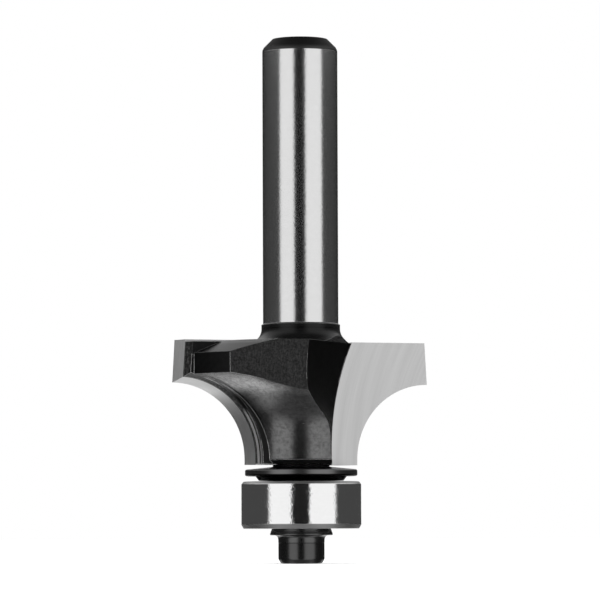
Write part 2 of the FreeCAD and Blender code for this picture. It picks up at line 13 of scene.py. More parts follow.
import bpy
import numpy as np
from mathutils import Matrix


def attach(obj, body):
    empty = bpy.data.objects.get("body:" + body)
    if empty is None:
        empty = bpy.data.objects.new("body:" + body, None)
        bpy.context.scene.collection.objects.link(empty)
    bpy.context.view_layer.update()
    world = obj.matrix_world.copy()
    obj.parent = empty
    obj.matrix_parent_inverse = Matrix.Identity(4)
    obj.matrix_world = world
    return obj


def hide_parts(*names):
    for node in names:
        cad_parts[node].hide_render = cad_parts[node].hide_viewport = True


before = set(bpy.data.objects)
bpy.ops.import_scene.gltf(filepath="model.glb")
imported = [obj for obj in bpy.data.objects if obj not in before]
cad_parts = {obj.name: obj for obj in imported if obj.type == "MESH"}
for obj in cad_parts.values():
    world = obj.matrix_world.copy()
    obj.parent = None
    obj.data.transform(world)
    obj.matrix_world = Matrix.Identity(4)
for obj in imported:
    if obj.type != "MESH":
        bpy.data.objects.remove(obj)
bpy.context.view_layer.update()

log = logging.getLogger("router_bit")

MM = 0.001
FULL_TURN = 2.0 * math.pi
WING_POLAR = 20.0
BORDER = 0.03  # mm: how far the edge of a zone eases, to each side
WELD_REACH = 1e-6  # metres


class Slot(Enum):
    """The record's material slots."""

    BODY = "body_steel"
    CARBIDE = "carbide"
    BRAZE = "braze"
    TURNED = "turned_steel"
    BEARING = "bearing_steel"
    BALL = "ball_steel"
    CAGE = "cage_steel"
    SHIELD = "shield_steel"
    SCREW = "screw_steel"


class Body(Enum):
    """The moving bodies that new pieces ride on."""

    ROOT = "root"
    OUTER_RING = "outer_ring"
    CAGE = "cage"


class Signal:
    """A number that varies over a surface: arithmetic on it adds Math nodes."""

    def __init__(self, graph: "Graph", socket: bpy.types.NodeSocket) -> None:
        """Wrap one output socket of a node tree."""
        self.graph = graph
        self.socket = socket

    def math(self, operation: str, *values: "Signal | float") -> "Signal":
        """Pass values through one Math node.

        Args:
            operation: the Math node's operation.
            values: its inputs, in order.

        Returns:
            The node's result.
        """
        inputs = dict(enumerate(values))
        node = self.graph.node("ShaderNodeMath", {"operation": operation}, inputs)
        return Signal(self.graph, node.outputs[0])

    def __add__(self, other: "Signal | float") -> "Signal":
        """Add."""
        return self.math("ADD", self, other)

    def __radd__(self, other: float) -> "Signal":
        """Add, reflected."""
        return self.math("ADD", other, self)

    def __sub__(self, other: "Signal | float") -> "Signal":
        """Subtract."""
        return self.math("SUBTRACT", self, other)

    def __rsub__(self, other: float) -> "Signal":
        """Subtract, reflected."""
        return self.math("SUBTRACT", other, self)

    def __mul__(self, other: "Signal | float") -> "Signal":
        """Multiply."""
        return self.math("MULTIPLY", self, other)

    def __rmul__(self, other: float) -> "Signal":
        """Multiply, reflected."""
        return self.math("MULTIPLY", other, self)

    def __truediv__(self, other: "Signal | float") -> "Signal":
        """Divide."""
        return self.math("DIVIDE", self, other)

    def __pow__(self, other: float) -> "Signal":
        """Raise to a power."""
        return self.math("POWER", self, other)

    def __abs__(self) -> "Signal":
        """Drop the sign."""
        return self.math("ABSOLUTE", self)

    def rise(self, low: float, high: float) -> "Signal":
        """Go smoothly from 0 at low to 1 at high; low above high falls instead.

        Args:
            low: where the result is 0.
            high: where it is 1.

        Returns:
            The eased value, held between 0 and 1.
        """
        flip = low > high
        start, end = (high, low) if flip else (low, high)
        to = {"To Min": 1.0, "To Max": 0.0} if flip else {"To Min": 0.0, "To Max": 1.0}
        inputs = {"Value": self, "From Min": start, "From Max": end, **to}
        node = self.graph.node("ShaderNodeMapRange", {"interpolation_type": "SMOOTHSTEP"}, inputs)
        return Signal(self.graph, node.outputs[0])

    def within(self, low: float, high: float, soft: float) -> "Signal":
        """Return 1 between low and high and 0 outside; both edges ease from soft before to soft past."""
        return self.rise(low - soft, low + soft) * self.rise(high + soft, high - soft)

    def blend(self, first: "Signal | float", second: "Signal | float") -> "Signal":
        """Return first where this is 0 and second where it is 1."""
        return first + self * (second - first)


class Graph:
    """A material's node tree, with the coordinates and textures that the finishes share."""

    def __init__(self, tree: bpy.types.NodeTree) -> None:
        """Empty a tree and start on it.

        Args:
            tree: the material's node tree.
        """
        self.tree = tree
        tree.nodes.clear()
        texture = self.node("ShaderNodeTexCoord", {}, {})
        metres = {0: texture.outputs["Object"], "Scale": 1 / MM}
        self.place = self.node("ShaderNodeVectorMath", {"operation": "SCALE"}, metres).outputs[0]
        parts = self.node("ShaderNodeSeparateXYZ", {}, {0: self.place})
        self.x, self.y, self.z = (Signal(self, out) for out in parts.outputs)
        self.radius = (self.x * self.x + self.y * self.y) ** 0.5

    def node(self, kind: str, settings: dict, inputs: dict) -> bpy.types.Node:
        """Add a node.

        Args:
            kind: the node's type.
            settings: its properties, set first.
            inputs: values or links by socket name or number.

        Returns:
            The new node.
        """
        made = self.tree.nodes.new(kind)
        for key, value in settings.items():
            setattr(made, key, value)
        for key, value in inputs.items():
            if isinstance(value, Signal):
                self.tree.links.new(value.socket, made.inputs[key])
            elif isinstance(value, bpy.types.NodeSocket):
                self.tree.links.new(value, made.inputs[key])
            else:
                made.inputs[key].default_value = value
        return made

    def along(self, polar: float) -> Signal:
        """Return the distance from the axis along a level direction, given by its polar angle."""
        return self.x * math.cos(math.radians(polar)) + self.y * math.sin(math.radians(polar))

    def wing(self) -> tuple:
        """Find each point's place on the wing that it belongs to.

        Returns:
            Signed distance along the wings' common line, and v, the distance square to the wing's cutting
            face, positive in front of it.
        """
        side = self.along(WING_POLAR)
        return side, self.along(WING_POLAR - 90.0) * side.math("SIGN", side)

    def stretched(self, x: float, y: float, z: float) -> bpy.types.NodeSocket:
        """Return the place in mm with each axis scaled."""
        inputs = {0: self.place, 1: (x, y, z)}
        return self.node("ShaderNodeVectorMath", {"operation": "MULTIPLY"}, inputs).outputs[0]

    def combined(self, x: "Signal | float", y: "Signal | float", z: "Signal | float") -> bpy.types.NodeSocket:
        """Return a vector made of three values."""
        return self.node("ShaderNodeCombineXYZ", {}, {0: x, 1: y, 2: z}).outputs[0]

    def noise(
        self, place: bpy.types.NodeSocket, scale: float, detail: float = 2.0, rough: float = 0.5
    ) -> Signal:
        """Return smooth random grey, 0 to 1 and mostly near a half.

        Args:
            place: the coordinates it reads.
            scale: spots per unit of them.
            detail: how many finer layers are added.
            rough: how strong those are.

        Returns:
            The grey.
        """
        inputs = {"Vector": place, "Scale": scale, "Detail": detail, "Roughness": rough}
        return Signal(self, self.node("ShaderNodeTexNoise", {"noise_dimensions": "3D"}, inputs).outputs[0])

    def grains(self, place: bpy.types.NodeSocket, scale: float) -> Signal:
        """Return the distance to the nearest of many scattered points, in units of their spacing."""
        node = self.node("ShaderNodeTexVoronoi", {"feature": "F1"}, {"Vector": place, "Scale": scale})
        return Signal(self, node.outputs["Distance"])

    def grey(self, value: "Signal | float") -> bpy.types.NodeSocket:
        """Turn a value into a neutral colour."""
        return self.node("ShaderNodeCombineColor", {}, {0: value, 1: value, 2: value}).outputs[0]


def open_material(label: str) -> tuple:
    """Make a material with an empty node tree.

    Args:
        label: the material's name.

    Returns:
        The material and its graph.
    """
    made = bpy.data.materials.new(label)
    made.use_nodes = True
    return made, Graph(made.node_tree)


def placed(name: str, data: bpy.types.ID) -> bpy.types.Object:
    """Make an object and link it to the scene.

    Args:
        name: the object's name.
        data: its mesh or camera.

    Returns:
        The new object.
    """
    made = bpy.data.objects.new(name, data)
    bpy.context.scene.collection.objects.link(made)
    return made


@dataclass
class Skin:
    """What a finish paints at each point of a surface."""

    tone: "Signal | float"
    roughness: "Signal | float"
    relief: Signal
    metallic: "Signal | float" = 1.0

    def over(self, mask: Signal, other: "Skin") -> "Skin":
        """Lay another skin over this one.

        Args:
            mask: where it lies, from 0 to 1.
            other: the skin on top.

        Returns:
            The two together.
        """
        return Skin(
            mask.blend(self.tone, other.tone),
            mask.blend(self.roughness, other.roughness),
            mask.blend(self.relief, other.relief),
            mask.blend(self.metallic, other.metallic),
        )


@dataclass(frozen=True)
class Finish:
    """A metal finish: its general tone and gloss, and how its texture and painted edge highlights vary them.

    relief_depth and edge_rounding are in mm. Grazing is how bright the metal stays where it is seen
    nearly edge-on, and the lean pair the cosines between which the painted edge highlight starts and is full.
    """

    label: str
    slot: Slot
    tone: float
    roughness: float
    relief_depth: float = 0.002
    edge_rounding: float = 0.0
    edge_highlight_tone: float = 0.0
    grazing: float = 1.0
    edge_roughness: float = 0.3
    edge_highlight_lean: tuple = (0.995, 0.94)

    def paint(self, graph: Graph) -> Skin:
        """Paint plain metal, which is faintly cloudy and speckled.

        Args:
            graph: the material's tree.

        Returns:
            The finish at each point.
        """
        cloud = graph.noise(graph.place, 0.9, 3.0)
        speck = graph.noise(graph.place, 9.0, 2.0)
        tone = self.tone * (0.93 + 0.14 * cloud)
        return Skin(tone, self.roughness * (0.8 + 0.4 * speck), speck)

    def edge_highlight_share(self, graph: Graph) -> "Signal | float":
        """Return how much of the painted edge highlight each place gets, from 0 to 1."""
        return 1.0

    def painted_highlight(self, graph: Graph, skin: Skin, eased: bpy.types.NodeSocket) -> Skin:
        """Paint highlights along the edges, as bright bare steel.

        An edge is where the eased normal leans away from the face's own normal. The highlight line is
        broken up by noise.

        Args:
            graph: the material's tree.
            skin: the finish.
            eased: the normal that the rounded edges give.

        Returns:
            The finish with painted highlights along its edges.
        """
        own = graph.node("ShaderNodeNewGeometry", {}, {}).outputs["True Normal"]
        lean = graph.node("ShaderNodeVectorMath", {"operation": "DOT_PRODUCT"}, {0: own, 1: eased})
        ragged = graph.noise(graph.place, 2.4, 4.0, 0.7).rise(0.35, 0.6)
        edge = Signal(graph, lean.outputs["Value"]).rise(*self.edge_highlight_lean)
        edge = edge * (0.45 + 0.55 * ragged) * self.edge_highlight_share(graph)
        return skin.over(edge, Skin(self.edge_highlight_tone, self.edge_roughness, skin.relief))

    def material(self) -> bpy.types.Material:
        """Build the material, whose colour, roughness, metallic part and bump come from paint.

        Returns:
            The material.
        """
        made, graph = open_material(self.label)
        skin = self.paint(graph)
        bump = {"Strength": 1.0, "Distance": self.relief_depth * MM}
        if self.edge_rounding:
            bevel = graph.node("ShaderNodeBevel", {"samples": 6}, {"Radius": self.edge_rounding * MM})
            bump["Normal"] = bevel.outputs[0]
            # painted highlight: bright bare steel laid along the edges
            if self.edge_highlight_tone:
                skin = self.painted_highlight(graph, skin, bevel.outputs[0])
        bump["Height"] = skin.relief
        normal = graph.node("ShaderNodeBump", {}, bump)
        metal = graph.node("ShaderNodeBsdfPrincipled", {}, {
            "Base Color": graph.grey(skin.tone),
            "Metallic": skin.metallic,
            "Roughness": skin.roughness,
            "Normal": normal.outputs[0],
            "Specular Tint": (self.grazing, self.grazing, self.grazing, 1.0),
        })
        graph.node("ShaderNodeOutputMaterial", {}, {0: metal.outputs[0]})
        made.diffuse_color = (self.tone, self.tone, self.tone, 1.0)
        made.metallic = 1.0
        made.roughness = self.roughness
        return made


@dataclass(frozen=True)
class TurnedFinish(Finish):
    """Metal with fine lines running round its axis, left by a lathe or a grinding wheel.

    Below a set height, if there is one, only a share of its tone is left, as painted shade.
    """

    line_spacing: float = 0.06
    line_spread: float = 0.25
    line_contrast: float = 0.12
    mottle: float = 0.06
    painted_shade_below: float = 0.0
    painted_shade_share: float = 0.12

    def lines(self, graph: Graph) -> Signal:
        """Draw the lines as noise that is stretched round the axis.

        Args:
            graph: the material's tree.

        Returns:
            Grey that changes quickly along the axis and outward, and slowly round it.
        """
        x, y = graph.x * self.line_spread, graph.y * self.line_spread
        rings = graph.noise(graph.combined(x, y, graph.z / self.line_spacing), 1.0, 3.0, 0.65)
        faces = graph.noise(graph.combined(graph.radius / self.line_spacing, x, y), 1.0, 2.0)
        return rings * 0.5 + faces * 0.5

    def paint(self, graph: Graph) -> Skin:
        """Paint lines over a faint mottle, and painted shade on a lower part where there is one.

        Args:
            graph: the material's tree.

        Returns:
            The finish at each point.
        """
        lines = self.lines(graph)
        mottle = graph.noise(graph.place, 2.2, 4.0, 0.6)
        shade = 1.0 + self.line_contrast * (lines - 0.5) + self.mottle * (mottle - 0.5)
        gloss = 1.0 + 1.2 * self.line_contrast * (lines - 0.5) + 1.6 * (mottle - 0.5) * self.mottle
        # painted shade: the tone drops on the lower part
        if self.painted_shade_below:
            bright = graph.z.rise(self.painted_shade_below - BORDER, self.painted_shade_below + BORDER)
            shade = shade * bright.blend(self.painted_shade_share, 1.0)
        return Skin(self.tone * shade, self.roughness * gloss, lines)


@dataclass(frozen=True)
class HonedFinish(TurnedFinish):
    """A ground and honed rim, whose short scratches fray the edges of what it mirrors.

    The honed band lies between two heights. The chamfers and the flat sides beyond it are plain ground.
    """

    honed_from: float = 4.2
    honed_to: float = 8.4
    ground_tone: float = 0.4
    ground_roughness: float = 0.46

    def paint(self, graph: Graph) -> Skin:
        """Paint scratches and fine pits in patches of the band, and duller chamfers and sides.

        Args:
            graph: the material's tree.

        Returns:
            The finish at each point.
        """
        skin = super().paint(graph)
        scratches = graph.noise(graph.stretched(5.0, 5.0, 5.0), 1.0, 1.0, 0.5)
        pits = graph.grains(graph.place, 6.0).rise(0.5, 0.1)
        patch = graph.noise(graph.place, 1.1).rise(0.4, 0.58)
        honed = Skin(skin.tone, skin.roughness, (scratches * 0.8 - pits * 0.3) * patch + skin.relief * 0.1)
        dull = Skin(skin.tone * (self.ground_tone / self.tone), self.ground_roughness, skin.relief)
        return dull.over(graph.z.within(self.honed_from, self.honed_to, BORDER), honed)


@dataclass(frozen=True)
class BlankFinish(Finish):
    """The cutter body: a bright ground shank over a blackened head with turned and milled faces.

    The wings' own frame has u outward along a wing and v square to its cutting face, so both wings
    are finished alike. A pair of numbers says where a zone starts and where it is full, or, with
    within, the two borders of a zone. Sizes are the CAD model's, in mm.
    """

    soot_tone: float = 0.02
    soot_roughness: float = 0.55
    oxide_tone: float = 0.006
    oxide_roughness: float = 0.28
    satin_tone: float = 0.145
    satin_roughness: float = 0.25
    grain_roughness: float = 0.42
    heel_tone: float = 0.016
    heel_gain: float = 0.055
    land_tone: float = 0.022
    end_tone: float = 0.07
    end_roughness: float = 0.5
    black_top: float = 25.4
    end_bevel: tuple = (54.3, 55.67)
    spared: tuple = (21.95, 25.6)
    spared_low: tuple = (13.0, 19.2)
    neck_line: float = 24.85
    neck_foot: tuple = (23.348, 23.368)
    head_top: float = 23.378
    rim_radius: float = 13.35
    bevel_drop: float = 1.33
    bevel_run: float = 3.25
    bevel_share: float = 0.75
    cove_radius: float = 8.87
    cove_out: float = 14.47
    cove_height: float = 11.038
    cove_foot: tuple = (10.98, 11.02)
    heel_polar: float = 105.0
    heel_edge: tuple = (8.84, 8.87)
    heel_head: tuple = (23.378, 23.368)
    wing_root: tuple = (4.0, 4.3)
    land_arc: tuple = (-2.65, -2.0)
    land_rim: tuple = (-3.05, -2.0)
    rim_foot: tuple = (19.44, 19.54)
    trail: tuple = (-3.15, -2.65)
    trail_head: tuple = (19.84, 19.79)
    drag_lines: tuple = (-5.0, -3.4)
    drag_share: float = 0.65
    bare_back: tuple = (-2.98, -2.75)
    bare_front: tuple = (-2.58, -2.25)
    bare_front_share: float = 0.6
    bare_head: tuple = (16.4, 15.2)
    # where the cove's painted highlight starts and how strong it is; trail and drag marks keep above the same
    # height
    painted_sheen_foot: tuple = (17.2, 18.8)
    painted_sheen_gain: float = 1.7

    def edge_highlight_share(self, graph: Graph) -> Signal:
        """Return the full painted edge highlight but for the bevel, the neck and the arc's edges, which keep
        their black.
        """
        return 1 - 0.85 * graph.z.within(*self.spared, 0.05) - 0.8 * graph.z.within(*self.spared_low, 0.1)

    def shank(self, graph: Graph) -> Skin:
        """Paint bright steel with faint grinding lines and mottling, and a dull chamfer at its end.

        Args:
            graph: the material's tree.

        Returns:
            The shank's finish.
        """
        lines = graph.noise(graph.stretched(0.3, 0.3, 16.0), 1.0, 3.0, 0.65)
        mottle = graph.noise(graph.place, 1.8, 4.0, 0.6)
        ripple = graph.noise(graph.place, 2.6, 3.0, 0.7)
        tone = self.tone * (0.92 + 0.08 * lines + 0.1 * mottle)
        ground = Skin(tone, self.roughness * (0.75 + 0.3 * lines + 0.2 * mottle), lines * 0.5 + ripple * 2.5)
        end = Skin(tone * (self.end_tone / self.tone), self.end_roughness, mottle * 2.0)
        return ground.over(graph.z.within(*self.end_bevel, 0.015), end)

    def soot(self, graph: Graph) -> Skin:
        """Return the dead black of the gullets, the rim and the backs of the lands."""
        cloud = graph.noise(graph.place, 2.1, 4.0, 0.65)
        return Skin(self.soot_tone * (0.5 + cloud), self.soot_roughness * (0.8 + 0.4 * cloud), cloud * 0.8)

    def oxide(self, graph: Graph) -> Skin:
        """Paint the black of the neck and the bevel, which shines only when grazed.

        Args:
            graph: the material's tree.

        Returns:
            The finish, darker along a line round the neck.
        """
        lines = graph.noise(graph.stretched(0.4, 0.4, 9.0), 1.0, 3.0, 0.65)
        cloud = graph.noise(graph.place, 1.3, 4.0, 0.6)
        beside_line = abs(graph.z - self.neck_line).rise(0.0, 0.12)
        tone = self.oxide_tone * (0.6 + 0.8 * cloud) * (0.2 + 0.8 * beside_line)
        return Skin(tone, self.oxide_roughness * (0.85 + 0.3 * lines), lines * 1.8 + cloud * 0.6, 0.0)

    def heel(self, graph: Graph) -> Skin:
        """Paint the heel flats' grain, of pits and short scratches that run up and down.

        Args:
            graph: the material's tree.

        Returns:
            The heel flats' finish.
        """
        grain = graph.noise(graph.place, 5.0, 4.0, 0.75)
        scratches = graph.noise(graph.stretched(7.0, 7.0, 1.6), 1.0, 3.0, 0.7)
        pits = graph.grains(graph.place, 5.5)
        rough = grain * 0.65 + scratches * 0.35
        tone = self.heel_tone + self.heel_gain * rough.rise(0.36, 0.72)
        return Skin(tone, self.grain_roughness * (0.7 + 0.6 * grain), rough * 2.2 + pits * 1.2)

    def cove(self, graph: Graph, dragged: Signal) -> Skin:
        """Paint the turned cove: darkened but glossy, streaked round it, and brighter at its top as a painted
        highlight.

        Args:
            graph: the material's tree.
            dragged: how much of the tone the drag marks leave.

        Returns:
            The cove's finish.
        """
        lines = graph.noise(graph.stretched(0.5, 0.5, 11.0), 1.0, 4.0, 0.7)
        grain = graph.noise(graph.place, 4.0, 4.0, 0.7)
        # painted highlight: the cove's tone grows towards its top
        painted_highlight = 1 + self.painted_sheen_gain * graph.z.rise(*self.painted_sheen_foot)
        blotch = graph.noise(graph.place, 2.0, 4.0, 0.7)
        tone = self.satin_tone * (0.3 + 0.5 * lines + 0.4 * grain + 0.4 * blotch.rise(0.3, 0.6)) * painted_highlight
        relief = lines * 0.8 + grain * 0.9 + blotch * 0.6
        return Skin(tone * dragged, self.satin_roughness * (0.75 + 0.3 * lines + 0.2 * grain), relief)

    def land(self, graph: Graph) -> Skin:
        """Paint the rough land behind each tip, dark with lighter flakes.

        Args:
            graph: the material's tree.

        Returns:
            The lands' finish.
        """
        grain = graph.noise(graph.stretched(4.2, 4.2, 3.2), 1.0, 4.0, 0.75)
        tone = self.land_tone * (0.2 + 3.4 * grain.rise(0.48, 0.66))
        return Skin(tone, self.grain_roughness * (0.9 + 0.4 * grain), grain * 5.0, 0.0)

    def scraped(self, graph: Graph, v: Signal) -> Skin:
        """Return bare steel drawn out in lines of equal v."""
        drawn = graph.noise(graph.combined(v * 9.0, graph.z * 0.8, 0.0), 1.0, 3.0, 0.7)
        return Skin(self.tone * (0.5 + 0.9 * drawn), self.grain_roughness * (0.9 + 0.2 * drawn), drawn * 2.0)

    def turned_zones(self, graph: Graph) -> tuple:
        """Find the faces that a lathe has left.

        The cove is where the distance from the centre of its arc equals the arc's radius, and the bevel
        lies near the line from the rim to the top.

        Args:
            graph: the material's tree.

        Returns:
            Where the cove is, and where the bevel and the neck are.
        """
        out = graph.radius - self.cove_out
        up = graph.z - self.cove_height
        cove = abs((out * out + up * up) ** 0.5 - self.cove_radius).rise(0.06, 0.03)
        slope = math.hypot(self.bevel_drop, self.bevel_run)
        fall = (graph.radius - self.rim_radius) * (self.bevel_drop / slope)
        climb = (graph.z - self.head_top + self.bevel_drop) * (self.bevel_run / slope)
        bevel = abs(fall + climb).rise(0.05, 0.025)
        neck = graph.z.rise(*self.neck_foot)
        return cove * graph.z.rise(*self.cove_foot), bevel.math("MAXIMUM", bevel * self.bevel_share, neck)

    def paint(self, graph: Graph) -> Skin:
        """Lay the zones over each other, each found by where it lies.

        A heel flat is found by its distance along its own normal, and a land, the trail of the cutter
        behind it and the bare lines by their v on the wing.

        Args:
            graph: the material's tree.

        Returns:
            The finish at each point.
        """
        side, v = graph.wing()
        wing = abs(side).rise(*self.wing_root)
        bright = graph.z.rise(*self.painted_sheen_foot)
        cove, oxide = self.turned_zones(graph)
        heel = abs(graph.along(self.heel_polar)).rise(*self.heel_edge) * graph.z.rise(*self.heel_head)
        land = v.within(*self.land_arc, BORDER)
        rim = graph.z.rise(*self.rim_foot) * v.within(*self.land_rim, BORDER)
        trail = v.within(*self.trail, BORDER) * wing * graph.z.rise(*self.trail_head) * bright
        streak = graph.noise(graph.combined(v * 6.0, side * 0.25, graph.z * 0.25), 1.0, 3.0, 0.65)
        drag = v.rise(*self.drag_lines) * wing * bright * streak.rise(0.42, 0.6)
        bare = v.within(*self.bare_back, BORDER) + self.bare_front_share * v.within(*self.bare_front, BORDER)
        skin = self.soot(graph).over(oxide, self.oxide(graph))
        skin = skin.over(cove.math("MAXIMUM", cove, trail), self.cove(graph, 1 - drag * self.drag_share))
        skin = skin.over(heel, self.heel(graph))
        skin = skin.over(land.math("MAXIMUM", land, rim) * wing, self.land(graph))
        skin = skin.over(bare * wing * graph.z.rise(*self.bare_head), self.scraped(graph, v))
        return skin.over(graph.z.rise(self.black_top - BORDER, self.black_top + BORDER), self.shank(graph))


@dataclass(frozen=True)
class GroundCarbideFinish(Finish):
    """Carbide ground by a large wheel, whose marks are arcs across the face."""

    wheel_u: float = 40.0
    wheel_z: float = 10.0
    arc_tone: float = 0.84
    margin_tone: float = 0.66
    arc_roughness: float = 0.42
    margin_roughness: float = 0.62
    margin_foot: float = 19.04
    margin_out: float = 14.35
    shaded: tuple = (17.9, 18.9)
    shaded_share: float = 0.7
    flank_edge: tuple = (-0.03, -0.08)

    def paint(self, graph: Graph) -> Skin:
        """Paint arcs about a far centre beside the tip, in its own plane, and coarser relieved flanks.

        A flank's upright margin and its arc meet where distance out and height add up to the same sum.

        Args:
            graph: the material's tree.

        Returns:
            The finish at each point.
        """
        side, v = graph.wing()
        u = abs(side) - self.wheel_u
        z = graph.z - self.wheel_z
        reach = (u * u + z * z) ** 0.5
        broad = graph.noise(graph.combined(reach * 1.3, graph.z * 0.05, 0.0), 1.0, 2.0)
        fine = graph.noise(graph.combined(reach * 5.5, graph.z * 0.12, 0.0), 1.0, 3.0, 0.6)
        speck = graph.noise(graph.place, 12.0, 2.0)
        face = Skin(self.tone * (0.76 + 0.28 * broad + 0.2 * fine),
                    self.roughness * (0.85 + 0.3 * fine), fine * 0.8 + speck * 0.2)
        corner = self.margin_foot + self.margin_out
        margin = (abs(side) + graph.z).rise(corner - 0.05, corner + 0.05)
        matt = margin.blend(self.arc_roughness, self.margin_roughness)
        shade = graph.z.rise(*self.shaded).blend(1.0, self.shaded_share)
        grey = margin.blend(shade * self.arc_tone, self.margin_tone)
        drawn = graph.noise(graph.combined(v * 6.0, u * 0.5, z * 0.5), 1.0, 4.0, 0.7)
        flank = Skin(grey * (0.74 + 0.1 * speck + 0.42 * drawn), matt * (0.9 + 0.2 * speck), speck + drawn)
        return face.over(v.rise(*self.flank_edge), flank)


@dataclass(frozen=True)
class Corner:
    """One corner of a turned outline: its radius and height, and the rounding of its edge."""

    radius: float
    height: float
    rounding: float = 0.03


def rounded(corners: list, loop: bool, steps: int = 5, guard: float = 0.02) -> np.ndarray:
    """Round the corners of an outline.

    Each corner becomes an arc that touches both of its sides: its centre lies one rounding to the inner
    side of where the arc starts, and the arc turns by the angle between the sides. A guard point close to
    each arc keeps the shading of the straight runs flat.

    Args:
        corners: the outline's corners in order, the solid on the left.
        loop: True if the last corner joins the first; otherwise both ends stay sharp.
        steps: segments in each arc.
        guard: the guard points' distance from the arcs, in mm.

    Returns:
        The points, as rows of (radius, height).
    """
    points = np.array([(c.radius, c.height) for c in corners])
    rounding = np.array([c.rounding for c in corners])
    inner = slice(None) if loop else slice(1, -1)
    before = (points - np.roll(points, 1, axis=0))[inner]
    after = (np.roll(points, -1, axis=0) - points)[inner]
    middle, size = points[inner], rounding[inner, None]
    before_length = np.linalg.norm(before, axis=1, keepdims=True)
    after_length = np.linalg.norm(after, axis=1, keepdims=True)
    before, after = before / before_length, after / after_length
    turn = np.arctan2(
        before[:, 0] * after[:, 1] - before[:, 1] * after[:, 0], (before * after).sum(axis=1)
    )[:, None]
    reach = size * np.abs(np.tan(turn / 2))
    start = middle - reach * before
    side = np.sign(turn) * np.stack([-before[:, 1], before[:, 0]], axis=1)
    centre = start + side * size
    spread = turn * np.linspace(0.0, 1.0, steps + 1)
    arm = start - centre
    cosine, sine = np.cos(spread), np.sin(spread)
    arc_r = centre[:, :1] + arm[:, :1] * cosine - arm[:, 1:] * sine
    arc_z = centre[:, 1:] + arm[:, :1] * sine + arm[:, 1:] * cosine
    lead = start - before * np.minimum(guard, before_length / 4)
    trail = middle + after * (reach + np.minimum(guard, after_length / 4))
    rows_r = np.concatenate([lead[:, :1], arc_r, trail[:, :1]], axis=1)
    rows_z = np.concatenate([lead[:, 1:], arc_z, trail[:, 1:]], axis=1)
    chain = np.stack([rows_r.ravel(), rows_z.ravel()], axis=1)
    return chain if loop else np.concatenate([points[:1], chain, points[-1:]])


@dataclass
class RingSurface:
    """A skin of rings about the axis: each row of radius and height is one ring, seen round the axis.

    Point (row, column) lies at radius * (cos, sin) of the column's angle, at the row's height. The rows
    close on the first one, or start and end at a single point on the axis.
    """

    name: str
    radius: np.ndarray
    height: np.ndarray
    segments: int = 160
    loop: bool = True

    def vertices(self) -> np.ndarray:
        """Work out the points.

        Returns:
            Their places in metres, ring after ring.
        """
        rows = self.radius.shape[0]
        angle = np.linspace(0.0, FULL_TURN, self.segments, endpoint=False)
        radius = np.broadcast_to(self.radius.reshape(rows, -1), (rows, self.segments))
        height = np.broadcast_to(self.height.reshape(rows, -1), (rows, self.segments))
        return np.stack([radius * np.cos(angle), radius * np.sin(angle), height], axis=-1).reshape(-1, 3) * MM

    def quads(self) -> np.ndarray:
        """Work out the faces between neighbouring rings, wound so that they face outwards.

        Returns:
            The numbers of each face's four points.
        """
        rows = self.radius.shape[0]
        row = np.arange(rows if self.loop else rows - 1)[:, None]
        column = np.arange(self.segments)[None, :]
        beyond = (column + 1) % self.segments
        above = (row + 1) % rows
        corners = [row * self.segments + column, row * self.segments + beyond,
                   above * self.segments + beyond, above * self.segments + column]
        return np.stack(np.broadcast_arrays(*corners), axis=-1).reshape(-1, 4)

    def caps(self, count: int, poles: np.ndarray) -> tuple:
        """Close the first and last ring onto points on the axis.

        Args:
            count: how many vertices the rings have.
            poles: the two heights, in mm.

        Returns:
            The two extra vertices and the triangles that reach them.
        """
        column = np.arange(self.segments)
        beyond = (column + 1) % self.segments
        last = count - self.segments
        low = np.stack([np.full(self.segments, count), beyond, column], axis=1)
        high = np.stack([np.full(self.segments, count + 1), last + column, last + beyond], axis=1)
        points = np.stack([np.zeros(2), np.zeros(2), poles * MM], axis=1)
        return points, np.concatenate([low, high])

    def build(self, poles: "np.ndarray | None" = None) -> bpy.types.Object:
        """Make the object, smooth-shaded.

        Args:
            poles: heights of the end points, for a surface that isn't a loop.

        Returns:
            The object, linked to the scene.
        """
        points, faces = self.vertices(), self.quads().tolist()
        if poles is not None:
            extra, triangles = self.caps(len(points), poles)
            points = np.concatenate([points, extra])
            faces += triangles.tolist()
        mesh = bpy.data.meshes.new(self.name)
        mesh.from_pydata(points.tolist(), [], faces)
        mesh.polygons.foreach_set("use_smooth", np.ones(len(mesh.polygons), bool))
        mesh.validate()
        mesh.update()
        return placed(self.name, mesh)


def turned(name: str, corners: list, segments: int = 160) -> bpy.types.Object:
    """Turn a closed outline of corners about the axis.

    Args:
        name: the new piece's name.
        corners: the outline, the solid on its left.
        segments: steps round the axis.

    Returns:
        The new object.
    """
    outline = rounded(corners, loop=True)
    return RingSurface(name, outline[:, 0], outline[:, 1], segments).build()


def finish_piece(piece: bpy.types.Object, finish: Finish, body: Body, *nodes: str) -> None:
    """Dress a new piece, seat it on its body and let it stand for CAD nodes.

    Args:
        piece: the new object.
        finish: its finish.
        body: the body that it rides on.
        nodes: the CAD nodes that it replaces.
    """
    piece.data.materials.append(Wardrobe.get(finish))
    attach(piece, body.value)
    if nodes:
        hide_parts(*nodes)
    log.info("%s: %d faces, on %s", piece.name, len(piece.data.polygons), body.value)


class Wardrobe:
    """The materials made so far, one for each finish."""

    made: dict = {}

    @classmethod
    def get(cls, finish: Finish) -> bpy.types.Material:
        """Find a finish's material, and make it the first time.

        Args:
            finish: the finish.

        Returns:
            Its material.
        """
        if finish not in cls.made:
            cls.made[finish] = finish.material()
        return cls.made[finish]


